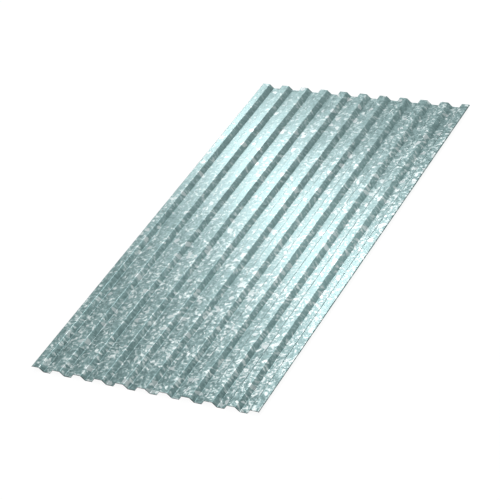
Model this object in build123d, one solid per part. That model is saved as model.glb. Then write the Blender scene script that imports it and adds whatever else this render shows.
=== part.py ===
from build123d import *
from math import atan2, cos, sin, tan
import os

# Corrugated roofing sheet with trapezoidal ribs, rolled in one piece from a galvanised steel strip.
# X runs across the ribs, Y along them and Z up. The origin is the middle of the sheet,
# on the floor that the undersides of its troughs rest on.

# Driving dimensions in millimetres. Widths and runs are measured on the strip's middle surface,
# between the corners that it would have if its bends were sharp.
sheet_length = 2000.0
sheet_thickness = 0.7
profile_height = 21.0  # from the undersides of the troughs to the tops of the crests
crest_width = 34.0
trough_width = 32.0
web_run = 17.0  # how far across a sloping web goes as it climbs from a trough to a crest
trough_count = 10  # a crest stands on each side of every trough, so both edges of the sheet are crests
lip_run = 2.5  # how far across each edge of the sheet turns down past its crest, at the slope of a web
bend_radius = 2.0  # inside of every bend

# Sizes that follow from these
rib_pitch = crest_width + trough_width + 2 * web_run
rise = profile_height - sheet_thickness
web_angle = atan2(rise, web_run)
lip_drop = lip_run * tan(web_angle)
half_width = (trough_count * rib_pitch + crest_width) / 2
trough_level = sheet_thickness / 2
crest_level = trough_level + rise


def face_line(side):
    """One face of the strip in section, from left to right: the top for 1, the underside for -1."""
    offset_out = side * sheet_thickness / 2
    corner_shift = offset_out * tan(web_angle / 2)
    crest = crest_level + offset_out
    trough = trough_level + offset_out
    crest_bend = bend_radius + sheet_thickness / 2 + offset_out
    trough_bend = bend_radius + sheet_thickness / 2 - offset_out
    lip_end_x = half_width + lip_run + offset_out * sin(web_angle)
    lip_end_z = crest_level - lip_drop + offset_out * cos(web_angle)

    corners = [(-lip_end_x, lip_end_z), (-half_width - corner_shift, crest)]
    bends = [crest_bend]
    for rib in range(trough_count):
        web_top = -half_width + rib * rib_pitch + crest_width
        trough_start = web_top + web_run
        trough_end = trough_start + trough_width
        corners += [
            (web_top + corner_shift, crest),
            (trough_start + corner_shift, trough),
            (trough_end - corner_shift, trough),
            (trough_end + web_run - corner_shift, crest),
        ]
        bends += [crest_bend, trough_bend, trough_bend, crest_bend]
    corners += [(half_width + corner_shift, crest), (lip_end_x, lip_end_z)]
    bends += [crest_bend]
    return FilletPolyline(*corners, radius=bends)


def sheet_section():
    """The strip's closed section, between its two faces and its two cut edges."""
    top = face_line(1)
    underside = face_line(-1)
    left_edge = Line(top @ 0, underside @ 0)
    right_edge = Line(top @ 1, underside @ 1)
    return make_face([top, right_edge, underside, left_edge])


def corrugated_sheet():
    """The section drawn out along the ribs, half of the length to each side of the origin."""
    return extrude(Plane.XZ * sheet_section(), sheet_length / 2, both=True)


os.makedirs("parts", exist_ok=True)
export_step(corrugated_sheet(), "parts/corrugated_sheet.step")
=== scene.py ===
import math

import bmesh
import bpy
from mathutils import Matrix, Vector


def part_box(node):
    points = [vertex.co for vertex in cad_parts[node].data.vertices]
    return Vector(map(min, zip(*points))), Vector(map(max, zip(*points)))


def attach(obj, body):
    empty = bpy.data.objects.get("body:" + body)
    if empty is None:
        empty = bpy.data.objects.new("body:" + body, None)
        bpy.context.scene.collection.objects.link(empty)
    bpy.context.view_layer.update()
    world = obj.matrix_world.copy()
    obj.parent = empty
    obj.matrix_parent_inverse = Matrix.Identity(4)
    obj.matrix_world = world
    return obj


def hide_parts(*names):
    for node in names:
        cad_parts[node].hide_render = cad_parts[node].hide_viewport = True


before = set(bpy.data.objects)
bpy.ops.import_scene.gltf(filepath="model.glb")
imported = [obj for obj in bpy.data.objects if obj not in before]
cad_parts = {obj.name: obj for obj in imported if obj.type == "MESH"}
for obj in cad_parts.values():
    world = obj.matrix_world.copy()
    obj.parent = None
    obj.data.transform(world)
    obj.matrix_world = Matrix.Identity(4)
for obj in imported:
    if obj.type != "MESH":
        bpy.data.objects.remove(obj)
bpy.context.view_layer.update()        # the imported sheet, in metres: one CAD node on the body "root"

mm = 0.001
nearly = 0.01 * mm  # places closer than this are the same place


def linear(hexColour):
    parts = [int(hexColour[i:i + 2], 16) / 255 for i in (1, 3, 5)]
    return [p / 12.92 if p <= 0.04045 else ((p + 0.055) / 1.055) ** 2.4 for p in parts] + [1.0]


def addNode(tree, kind, links=None, stops=None, **settings):
    node = tree.nodes.new("ShaderNode" + kind)
    for name, value in settings.items():
        setattr(node, name, value)
    for socket, value in (links or {}).items():
        if isinstance(value, bpy.types.NodeSocket):
            tree.links.new(value, node.inputs[socket])
        else:
            node.inputs[socket].default_value = value
    if stops:  # the places and colours along a ramp, which starts with two
        elements = node.color_ramp.elements
        elements[0].position, elements[0].color = stops[0]
        elements[1].position, elements[1].color = stops[-1]
        for position, colour in stops[1:-1]:
            elements.new(position).color = colour
    return node


def newMaterial(name):
    material = bpy.data.materials.new(name)
    material.use_nodes = True
    material.node_tree.nodes.clear()
    return material, material.node_tree


# The sheet: one galvanised strip, folded across its width and cut square at both ends
sheet = {
    "crest": 34 * mm,  # widths on the middle surface, between sharp corners
    "trough": 32 * mm,
    "webRun": 17 * mm,
    "lipRun": 2.5 * mm,  # each long edge turns down past its crest
    "thickness": 0.7 * mm,
    "bendRadius": 2 * mm,  # inside of each bend
    "bendSteps": 6,
    "lengthCuts": 49,
    "waviness": 0.4 * mm,  # thin flats are never quite flat
    "waveLength": 260 * mm,
    "smoothAngle": 30,  # in degrees: bends shade round and the cut rim stays sharp
}
pitch = sheet["crest"] + sheet["trough"] + 2 * sheet["webRun"]


def selectLongEdges(mesh, test):
    edges = bmesh.from_edit_mesh(mesh)
    for edge in edges.edges:
        a, b = (v.co for v in edge.verts)
        edge.select_set(abs(a.x - b.x) < nearly and abs(a.z - b.z) < nearly and test(edge))
    bmesh.update_edit_mesh(mesh)


def applyModifier(piece, kind, **settings):
    modifier = piece.modifiers.new(kind.title(), kind)
    for name, value in settings.items():
        setattr(modifier, name, value)
    bpy.ops.object.modifier_apply(modifier=modifier.name)


def foldSheet():
    low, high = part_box("corrugated_sheet")
    length = high.y - low.y
    rise = high.z - low.z - sheet["thickness"]
    troughs = round((high.x - low.x - sheet["crest"]) / pitch)
    halfWidth = (troughs * pitch + sheet["crest"]) / 2
    slope = math.atan2(rise, sheet["webRun"])
    lipDrop = sheet["lipRun"] * math.tan(slope)

    # the crest at the left edge comes first
    bpy.ops.object.select_all(action="DESELECT")
    bpy.ops.mesh.primitive_plane_add(size=1)
    piece = bpy.context.object
    piece.name = piece.data.name = "corrugatedSheet"
    piece.scale = (sheet["crest"], length, 1)
    piece.location = (sheet["crest"] / 2 - halfWidth, 0, sheet["thickness"] / 2 + rise)
    bpy.ops.object.transform_apply(location=True, rotation=True, scale=True)

    # its right edge is pulled out fold by fold, then both outer edges get their lips
    bpy.ops.object.mode_set(mode="EDIT")
    bpy.ops.mesh.select_mode(type="EDGE")
    bpy.ops.mesh.select_all(action="DESELECT")
    selectLongEdges(piece.data, lambda edge: edge.verts[0].co.x > -halfWidth + sheet["crest"] / 2)
    folds = [(sheet["webRun"], -rise), (sheet["trough"], 0), (sheet["webRun"], rise), (sheet["crest"], 0)]
    for across, up in folds * troughs + [(sheet["lipRun"], -lipDrop)]:
        bpy.ops.mesh.extrude_region_move(TRANSFORM_OT_translate={"value": (across, 0, up)})
    selectLongEdges(piece.data, lambda edge: edge.verts[0].co.x < -halfWidth + nearly)
    bpy.ops.mesh.extrude_region_move(TRANSFORM_OT_translate={"value": (-sheet["lipRun"], 0, -lipDrop)})

    # every fold is rounded, and the length is cut so that the flats can bow
    middleRadius = sheet["bendRadius"] + sheet["thickness"] / 2
    selectLongEdges(piece.data, lambda edge: len(edge.link_faces) == 2)
    bpy.ops.mesh.bevel(offset_type="OFFSET", offset=middleRadius * math.tan(slope / 2),
                       segments=sheet["bendSteps"], profile=0.5, affect="EDGES")
    selectLongEdges(piece.data, lambda edge: True)
    bpy.ops.mesh.subdivide(number_cuts=sheet["lengthCuts"])
    bpy.ops.mesh.select_all(action="SELECT")
    bpy.ops.mesh.normals_make_consistent(inside=False)
    bpy.ops.object.mode_set(mode="OBJECT")
    if piece.data.polygons[0].normal.z < 0:
        piece.data.flip_normals()

    waves = bpy.data.textures.new("flatWaves", "CLOUDS")
    waves.noise_scale = sheet["waveLength"]
    waves.noise_depth = 1
    applyModifier(piece, "DISPLACE", texture=waves, texture_coords="LOCAL", direction="Z",
                  mid_level=0.0, strength=sheet["waviness"])
    piece.data.materials.append(galvanisedSteel())
    piece.data.materials.append(cutSteel())
    applyModifier(piece, "SOLIDIFY", thickness=sheet["thickness"], offset=0, use_even_offset=True,
                  material_offset_rim=1)
    bpy.ops.object.shade_smooth_by_angle(angle=math.radians(sheet["smoothAngle"]))
    applyModifier(piece, "WEIGHTED_NORMAL", mode="FACE_AREA", keep_sharp=True)

    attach(piece, "root")
    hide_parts("corrugated_sheet")
    print("sheet folded:", troughs, "troughs,", len(piece.data.polygons), "faces")
    return piece


# Hot-dip galvanised steel: zinc that froze on the strip in flat crystals, the spangle. The eye sees soft pale
# strokes on a cool grey-green ground. The strokes are frosted, so they stand out away from the lamp's mirror
# image and fade inside it.
zinc = {
    "tones": [(0.1, "#667f7f"), (0.5, "#7b9696"), (0.9, "#c8d3d2")],  # from ground to stroke
    "roughness": 0.31,
    "strokeRoughness": 0.54,
    "frosted": (0.2, 0.9),  # the paleness at which the frost sets in, and at which it is full
    "grain": 18 * mm,  # across one grain of the spangle
    "grainShake": 0.5,  # the span that its border wanders over, in grains
    "stroke": 17 * mm,  # across one pale stroke and the gap beside it
    "strokeStretch": 2.0,  # how much longer than wide it is
    "patch": 130 * mm,  # across a patch with many pale grains, or with few
    "grainWeight": 0.2,  # what the grain and the patch add to the strokes
    "patchWeight": 0.15,
    "drawnFrom": (0.42, 0.98),  # the span of that sum that is drawn
    "drawnTo": (-0.4, 0.6),  # as steps from the middle paleness
    "middlePaleness": 0.385,
    "boldWay": (-0.775, 0.632, 0.0),  # the strokes fade from one corner of the strip to the opposite one
    "boldReach": 1.03,  # in metres from the middle to either corner
    "nearBold": 1.19,
    "farBold": 0.47,
    "relief": 0.05 * mm,
    "reliefStrength": 0.15,
    "bloom": "#a5b3b3",  # a crystal here and there that froze dull and whole
    "bloomShare": 0.03,
    "bloomSize": 18 * mm,
    "browReach": 3 * mm,  # painted shade on the webs that face right: a little of it this far from the crest
    "browTone": 0.9,
    "webTone": 0.74,  # and most of it low down
    "footTone": 0.89,
    "troughTone": 0.83,  # it thins out across each trough
    "sillTone": 0.88,
    "farShade": 0.65,  # the share of that painted shade on the far half of the sheet
    "lipShadeTone": 0.6,  # painted shade: the lips along both long edges are darker, for the shaded face of a turned-down lip
    "cutShadeReach": 2.5 * mm,  # painted shade: the near cut is too fine to show as a dark line, so this much of the zinc beside it is dark too
    "cutShadeShare": 0.75,
}


def drawSpangle(tree, place):
    # grains with uneven borders: the place is shaken before the cells are laid out
    shake = addNode(tree, "TexNoise", {"Vector": place, "Scale": 1 / zinc["grain"], "Detail": 1.0})
    centred = addNode(tree, "VectorMath", {0: shake.outputs["Color"], 1: (0.5, 0.5, 0.5)},
                      operation="SUBTRACT")
    sized = addNode(tree, "VectorMath", {0: centred.outputs[0], "Scale": zinc["grainShake"] * zinc["grain"]},
                    operation="SCALE")
    shaken = addNode(tree, "VectorMath", {0: place, 1: sized.outputs[0]}, operation="ADD").outputs[0]
    grains = addNode(tree, "TexVoronoi", {"Vector": shaken, "Scale": 1 / zinc["grain"]})
    grain = addNode(tree, "SeparateColor", {0: grains.outputs["Color"]})

    # each grain's strokes lie their own way
    turn = addNode(tree, "Math", {0: grain.outputs[1], 1: math.pi}, operation="MULTIPLY")
    turned = addNode(tree, "VectorRotate", {"Vector": shaken, "Angle": turn.outputs[0]},
                     rotation_type="Z_AXIS")
    slender = math.sqrt(zinc["strokeStretch"])
    stretched = addNode(tree, "VectorMath", {0: turned.outputs[0], 1: (1 / slender, slender, 1.0)},
                        operation="MULTIPLY")
    strokes = addNode(tree, "TexNoise", {"Vector": stretched.outputs[0], "Scale": 1 / zinc["stroke"],
                                         "Detail": 0.5})

    # some grains and some patches of the sheet are paler than others
    patches = addNode(tree, "TexNoise", {"Vector": place, "Scale": 1 / zinc["patch"], "Detail": 1.0})
    mixed = addNode(tree, "Math", {0: grain.outputs[0], 1: zinc["grainWeight"], 2: strokes.outputs[0]},
                    operation="MULTIPLY_ADD")
    mixed = addNode(tree, "Math", {0: patches.outputs[0], 1: zinc["patchWeight"], 2: mixed.outputs[0]},
                    operation="MULTIPLY_ADD").outputs[0]
    drawn = addNode(tree, "MapRange", {"Value": mixed,
                                       "From Min": zinc["drawnFrom"][0], "From Max": zinc["drawnFrom"][1],
                                       "To Min": zinc["drawnTo"][0], "To Max": zinc["drawnTo"][1]})
    along = addNode(tree, "VectorMath", {0: place, 1: zinc["boldWay"]}, operation="DOT_PRODUCT")
    bold = addNode(tree, "MapRange", {"Value": along.outputs["Value"],
                                      "From Min": -zinc["boldReach"], "From Max": zinc["boldReach"],
                                      "To Min": zinc["nearBold"], "To Max": zinc["farBold"]})
    pale = addNode(tree, "Math", {0: drawn.outputs[0], 1: bold.outputs[0], 2: zinc["middlePaleness"]},
                   operation="MULTIPLY_ADD").outputs[0]
    return shaken, mixed, pale


def drawPaintedShade(tree, axes, nearEnd):
    # painted shade, by the place across one rib, from the middle of its crest to the right: darkest low on
    # the web that faces right, lighter across the trough
    ribs = addNode(tree, "Math", {0: axes.outputs[0], 1: 1 / pitch}, operation="MULTIPLY")
    across = addNode(tree, "Math", {0: ribs.outputs[0]}, operation="FRACT")
    bend = sheet["bendRadius"]
    webTop = sheet["crest"] / 2
    webFoot = webTop + sheet["webRun"]
    sill = webFoot + sheet["trough"]
    run = [(webTop, 1.0), (webTop + zinc["browReach"], zinc["browTone"]), (webFoot - bend, zinc["webTone"]),
           (webFoot, zinc["footTone"]), (webFoot + bend, zinc["troughTone"]), (sill - bend, zinc["sillTone"]),
           (sill, 1.0)]
    paintedShade = addNode(tree, "ValToRGB", {0: across.outputs[0]},
                   stops=[(at / pitch, (tone, tone, tone, 1.0)) for at, tone in run])
    share = addNode(tree, "MapRange", {"Value": axes.outputs[1], "From Min": nearEnd, "From Max": 0.0,
                                       "To Min": 1.0, "To Max": zinc["farShade"]})
    return paintedShade.outputs[0], share.outputs[0]


def galvanisedSteel():
    material, tree = newMaterial("galvanisedSteel")
    low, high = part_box("corrugated_sheet")
    solid = addNode(tree, "TexCoord").outputs["Object"]
    axes = addNode(tree, "SeparateXYZ", {0: solid})
    # the spangle is drawn from above, so that it lies in long blocks on the webs
    place = addNode(tree, "VectorMath", {0: solid, 1: (1.0, 1.0, 0.0)}, operation="MULTIPLY").outputs[0]
    shaken, mixed, pale = drawSpangle(tree, place)

    # in each colour mix, 0 is the share, 6 the colour so far and 7 the one that comes on
    tones = addNode(tree, "ValToRGB", {0: pale}, stops=[(at, linear(tone)) for at, tone in zinc["tones"]])
    blooms = addNode(tree, "TexVoronoi", {"Vector": shaken, "Scale": 1 / zinc["bloomSize"]})
    bloom = addNode(tree, "SeparateColor", {0: blooms.outputs["Color"]})
    isBloom = addNode(tree, "Math", {0: bloom.outputs[2], 1: 1 - zinc["bloomShare"]},
                      operation="GREATER_THAN")
    bloomed = addNode(tree, "Mix", {0: isBloom.outputs[0], 6: tones.outputs[0], 7: linear(zinc["bloom"])},
                      data_type="RGBA")

    # painted shade darkens the webs that face right and the troughs, less on the far half
    paintedShade, shadeShare = drawPaintedShade(tree, axes, low.y)
    shaded = addNode(tree, "Mix", {0: shadeShare, 6: bloomed.outputs[2], 7: paintedShade},
                    data_type="RGBA", blend_type="MULTIPLY")

    # painted shade: the lips along both long edges are darkened
    aside = addNode(tree, "Math", {0: axes.outputs[0]}, operation="ABSOLUTE")
    lipStart = high.x - sheet["lipRun"] - sheet["bendRadius"] / 2
    isShadedLip = addNode(tree, "Math", {0: aside.outputs[0], 1: lipStart}, operation="GREATER_THAN")
    lipShaded = addNode(tree, "Mix", {0: isShadedLip.outputs[0], 6: shaded.outputs[2], 7: [zinc["lipShadeTone"]] * 3 + [1]},
                    data_type="RGBA", blend_type="MULTIPLY")
    # painted shade: a band of zinc beside the near cut takes the dark cut colour
    isCutShade = addNode(tree, "Math", {0: axes.outputs[1], 1: low.y + zinc["cutShadeReach"]}, operation="LESS_THAN")
    cutShadeShare = addNode(tree, "Math", {0: isCutShade.outputs[0], 1: zinc["cutShadeShare"]}, operation="MULTIPLY")
    trimmed = addNode(tree, "Mix", {0: cutShadeShare.outputs[0], 6: lipShaded.outputs[2], 7: linear(cut["steel"])},
                      data_type="RGBA")

    rough = addNode(tree, "MapRange", {"Value": pale,
                                       "From Min": zinc["frosted"][0], "From Max": zinc["frosted"][1],
                                       "To Min": zinc["roughness"], "To Max": zinc["strokeRoughness"]})
    relief = addNode(tree, "Bump", {"Height": mixed, "Strength": zinc["reliefStrength"],
                                    "Distance": zinc["relief"]})
    shader = addNode(tree, "BsdfPrincipled", {"Base Color": trimmed.outputs[2], "Metallic": 1.0,
                                              "Roughness": rough.outputs[0], "Normal": relief.outputs[0]})
    addNode(tree, "OutputMaterial", {"Surface": shader.outputs[0]})
    return material


# Sheared steel: the cut shows the bare core of the strip between its two zinc skins, faintly scratched. Its
# grey is drawn much darker than bare steel: painted shade, so that the thin cut reads as a dark line.
cut = {
    "steel": "#343536",
    "scratch": "#4a4b4c",
    "scratchWidth": 1.5 * mm,  # real shear marks are too fine to show, so these are coarser
    "roughness": 0.5,
}


def cutSteel():
    material, tree = newMaterial("cutSteel")
    place = addNode(tree, "TexCoord").outputs["Object"]
    marks = addNode(tree, "TexNoise", {"Vector": place, "Scale": 1 / cut["scratchWidth"], "Detail": 2.0})
    # painted shade: both cut tones are darker than bare steel
    tones = addNode(tree, "ValToRGB", {0: marks.outputs[0]},
                    stops=[(0.0, linear(cut["steel"])), (1.0, linear(cut["scratch"]))])
    shader = addNode(tree, "BsdfPrincipled", {"Base Color": tones.outputs[0], "Metallic": 1.0,
                                              "Roughness": cut["roughness"]})
    addNode(tree, "OutputMaterial", {"Surface": shader.outputs[0]})
    return material


# The studio: a pale floor in a white room. Each fade gives the values of a direction's x, y or z between
# which the room goes from one level to the next.
studio = {
    "floor": "#f8f8f8",
    "floorSize": 60.0,
    "shadowFill": 0.93,  # the share of the floor that shows plain white, so that the shadow stays faint
    "room": "#ffffff",
    "roomLight": 1.0,
    "roomSides": 0.84,
    "sideFade": (0.45, 0.85),  # x, to either side
    "roomDim": 0.5,  # low down on the camera's side, which the sheet mirrors only when it is seen from behind
    "frontFade": (-0.2, 0.45),  # y
    "lowFade": (0.3, 0.6),  # z
}


# Matt white paint: no gloss, only the sheet's soft shadow.
def layFloor():
    bpy.ops.object.select_all(action="DESELECT")
    bpy.ops.mesh.primitive_plane_add(size=studio["floorSize"])
    floor = bpy.context.object
    floor.name = "studioFloor"
    material, tree = newMaterial("palePaint")
    paint = addNode(tree, "BsdfDiffuse", {"Color": linear(studio["floor"])})
    glow = addNode(tree, "Emission", {"Color": linear(studio["room"])})
    rays = addNode(tree, "LightPath")
    seen = rays.outputs["Is Camera Ray"]
    for ray in ("Is Glossy Ray", "Is Transmission Ray"):
        seen = addNode(tree, "Math", {0: seen, 1: rays.outputs[ray]}, operation="MAXIMUM").outputs[0]
    fill = addNode(tree, "Math", {0: seen, 1: studio["shadowFill"]}, operation="MULTIPLY")
    shader = addNode(tree, "MixShader", {0: fill.outputs[0], 1: paint.outputs[0], 2: glow.outputs[0]})
    addNode(tree, "OutputMaterial", {"Surface": shader.outputs[0]})
    floor.data.materials.append(material)
    print("floor laid")


def lightRoom():
    world = bpy.data.worlds.new("whiteRoom")
    bpy.context.scene.world = world
    world.use_nodes = True
    world.node_tree.nodes.clear()
    tree = world.node_tree
    towards = addNode(tree, "SeparateXYZ", {0: addNode(tree, "TexCoord").outputs["Generated"]})
    inFront = addNode(tree, "MapRange", {"Value": towards.outputs[1], "From Min": studio["frontFade"][0],
                                         "From Max": studio["frontFade"][1], "To Min": 1.0, "To Max": 0.0})
    lowDown = addNode(tree, "MapRange", {"Value": towards.outputs[2], "From Min": studio["lowFade"][0],
                                         "From Max": studio["lowFade"][1], "To Min": 1.0, "To Max": 0.0})
    dim = addNode(tree, "Math", {0: inFront.outputs[0], 1: lowDown.outputs[0]}, operation="MULTIPLY")
    level = addNode(tree, "MapRange", {"Value": dim.outputs[0], "To Min": studio["roomLight"],
                                       "To Max": studio["roomDim"]})
    aside = addNode(tree, "Math", {0: towards.outputs[0]}, operation="ABSOLUTE")
    sides = addNode(tree, "MapRange", {"Value": aside.outputs[0], "From Min": studio["sideFade"][0],
                                       "From Max": studio["sideFade"][1], "To Min": 1.0,
                                       "To Max": studio["roomSides"]})
    level = addNode(tree, "Math", {0: level.outputs[0], 1: sides.outputs[0]}, operation="MULTIPLY")
    light = addNode(tree, "Background", {"Color": linear(studio["room"]), "Strength": level.outputs[0]})
    addNode(tree, "OutputWorld", {"Surface": light.outputs[0]})
    print("room lit")


# Soft lamps, each with its long side along the given way
lamps = {
    "lamp": {  # a strip behind the sheet, which the flats mirror to the camera
        "place": (-0.56, 1.70, 2.42),
        "aim": (-0.19, 0.12, -0.1),
        "along": (1.54, -0.96, 0.83),
        "size": (4.5, 0.3),
        "power": 54.5,
        "colour": "#fff0f2",  # a little warmer than the room
    },
    "fill": {  # where the webs that face the camera look
        "place": (2.02, 1.5, 0.85),
        "aim": (0.18, -0.1, 0.0),
        "along": (-0.69, 0.73, 0.0),
        "size": (1.0, 0.7),
        "power": 2.4,
        "colour": "#ffffff",
    },
    "edge": {  # mirrored by the bends of the nearest ribs
        "place": (0.65, 1.2, 2.45),
        "aim": (0.3, -0.8, 0.0),
        "along": (1.0, 0.0, 0.0),
        "size": (1.2, 0.25),
        "power": 13.0,
        "colour": "#ffffff",
    },
    "front": {  # the strip's fellow, for the views from behind
        "place": (0.56, -1.70, 2.42),
        "aim": (0.19, -0.12, -0.1),
        "along": (-1.54, 0.96, 0.83),
        "size": (4.5, 0.3),
        "power": 25.0,
        "colour": "#ffffff",
    },
    "ceiling": {  # mirrored by the flats when they are seen from above
        "place": (0.0, -0.4, 3.5),
        "aim": (0.0, -0.4, 0.0),
        "along": (1.0, 0.0, 0.0),
        "size": (2.2, 2.2),
        "power": 12.0,
        "colour": "#ffffff",
    },
}


def hangLamps():
    for name, lamp in lamps.items():
        bpy.ops.object.light_add(type="AREA")
        light = bpy.context.object
        light.name = name
        light.data.shape = "RECTANGLE"
        light.data.size, light.data.size_y = lamp["size"]
        light.data.energy = lamp["power"]
        light.data.color = linear(lamp["colour"])[:3]
        at = Vector(lamp["place"])
        back = (at - Vector(lamp["aim"])).normalized()
        top = back.cross(Vector(lamp["along"])).normalized()
        light.matrix_world = placed(top.cross(back), top, back, at)
    print("lamps hung:", len(lamps))


def placed(side, top, back, at):
    place = Matrix((side, top, back)).transposed().to_4x4()
    place.translation = at
    return place


# The camera looks down on the sheet over its near right corner, and leans to one side
view = {
    "lens": 137.31,
    "sensor": 36.0,
    "azimuth": 37.521,
    "elevation": 36.012,
    "roll": -15.572,
    "distance": 7.8336,
    "aim": (0.0024, -0.114, 0.0),
}


def placeCamera():
    azimuth, elevation, roll = (math.radians(view[k]) for k in ("azimuth", "elevation", "roll"))
    back = Vector((math.sin(azimuth) * math.cos(elevation), -math.cos(azimuth) * math.cos(elevation),
                   math.sin(elevation)))
    right = Vector((math.cos(azimuth), math.sin(azimuth), 0))
    up = back.cross(right)
    side = math.cos(roll) * right + math.sin(roll) * up
    top = math.cos(roll) * up - math.sin(roll) * right
    camera = bpy.data.cameras.new("camera")
    camera.lens = view["lens"]
    camera.sensor_width = view["sensor"]
    holder = bpy.data.objects.new("camera", camera)
    bpy.context.scene.collection.objects.link(holder)
    holder.matrix_world = placed(side, top, back, Vector(view["aim"]) + back * view["distance"])
    bpy.context.scene.camera = holder
    print("camera placed")


foldSheet()
layFloor()
lightRoom()
hangLamps()
placeCamera()
bpy.context.scene.view_settings.view_transform = "Standard"
